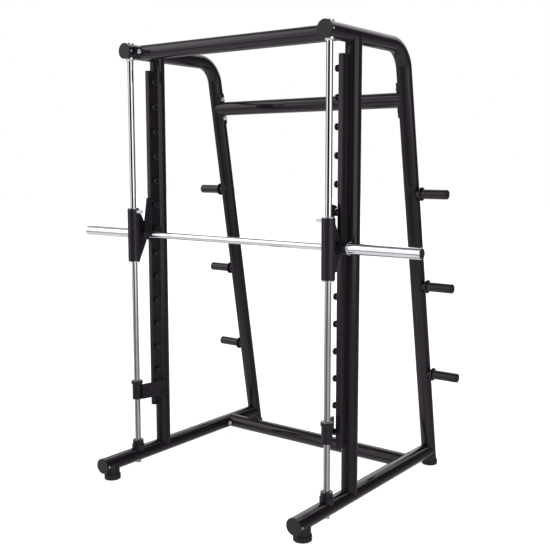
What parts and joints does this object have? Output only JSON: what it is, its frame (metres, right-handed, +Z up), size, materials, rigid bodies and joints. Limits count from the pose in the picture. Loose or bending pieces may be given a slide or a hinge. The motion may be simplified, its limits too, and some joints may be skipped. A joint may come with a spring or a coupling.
{
  "type": "smith machine",
  "caption": "Free-standing barbell frame whose bar slides on vertical guide rods, with turning safety hooks, rack pegs, adjustable stops and plate-storage horns.",
  "frame": {"origin": "on the floor, at the middle of the machine's footprint box", "axes": "+Z up, +X to the right seen from the lifter's side, +Y from the guide rods towards the sloping rear legs"},
  "size_m": [2.07, 1.3047, 2.2368],
  "materials": {
    "frame_paint": "gloss",
    "black_steel": "satin",
    "chrome": "polished",
    "bearing_steel": "satin",
    "bronze": "satin",
    "black_plastic": "matte",
    "grey_plastic": "satin",
    "rubber": "matte"
  },
  "bodies": {
    "frame": {"right_bent_tube": "frame_paint", "left_bent_tube": "frame_paint", "right_base_runner": "frame_paint", "left_base_runner": "frame_paint", "right_upright": "frame_paint", "left_upright": "frame_paint", "right_rack": "frame_paint", "left_rack": "frame_paint", "right_rack_pegs": "frame_paint", "left_rack_pegs": "frame_paint", "right_guide_rod": "chrome", "left_guide_rod": "chrome", "right_rod_socket": "black_steel", "left_rod_socket": "black_steel", "right_rod_collar": "chrome", "left_rod_collar": "chrome", "right_rod_nut": "chrome", "left_rod_nut": "chrome", "right_storage_horns": "frame_paint", "left_storage_horns": "frame_paint", "right_horn_collars": "frame_paint", "left_horn_collars": "frame_paint", "horn_end_caps": "black_plastic", "foot_posts": "frame_paint", "front_feet": "rubber", "rear_feet": "rubber", "beam_end_caps": "black_plastic", "runner_end_caps": "black_plastic", "cap_screws": "chrome", "top_crossbeam": "frame_paint", "upper_rear_crossbeam": "frame_paint", "lower_rear_crossbeam": "frame_paint", "crossbeam_saddles": "frame_paint", "crossbeam_bolts": "chrome"},
    "carriage": {"right_carrier_tube": "black_steel", "left_carrier_tube": "black_steel", "right_linear_bearings": "bearing_steel", "left_linear_bearings": "bearing_steel", "right_carrier_gusset": "black_steel", "left_carrier_gusset": "black_steel", "right_bar_housing": "black_steel", "left_bar_housing": "black_steel", "right_bar_bushing": "bronze", "left_bar_bushing": "bronze", "right_stop_pin": "chrome", "left_stop_pin": "chrome"},
    "bar": {"bar_shaft": "chrome", "bar_end_plugs": "black_plastic", "right_plate_sleeve": "chrome", "left_plate_sleeve": "chrome", "right_sleeve_collar": "chrome", "left_sleeve_collar": "chrome", "right_safety_hook": "black_steel", "left_safety_hook": "black_steel"},
    "right_stop": {"right_stop_bush": "grey_plastic", "right_stop_bumper": "rubber"},
    "right_latch": {"right_stop_latch": "black_steel"},
    "left_stop": {"left_stop_bush": "grey_plastic", "left_stop_bumper": "rubber"},
    "left_latch": {"left_stop_latch": "black_steel"}
  },
  "joints": [
    {"name": "carriage_slide", "type": "slide", "parent": "frame", "child": "carriage", "axis": [0, 0, 1], "range_m": [-0.635, 0.635]},
    {"name": "bar_turn", "type": "hinge", "parent": "carriage", "child": "bar", "pos_m": [0, -0.33842, 1.262], "axis": [1, 0, 0], "range_deg": [-8.8, 20]},
    {"name": "right_stop_slide", "type": "slide", "parent": "frame", "child": "right_stop", "axis": [0, 0, 1], "range_m": [0, 0.635]},
    {"name": "right_latch_swivel", "type": "hinge", "parent": "right_stop", "child": "right_latch", "pos_m": [0.61, -0.39842, 0.4], "axis": [0, 0, 1], "range_deg": [-13, 77]},
    {"name": "left_stop_slide", "type": "slide", "parent": "frame", "child": "left_stop", "axis": [0, 0, 1], "range_m": [0, 0.635]},
    {"name": "left_latch_swivel", "type": "hinge", "parent": "left_stop", "child": "left_latch", "pos_m": [-0.61, -0.39842, 0.4], "axis": [0, 0, -1], "range_deg": [-13, 77]}
  ]
}
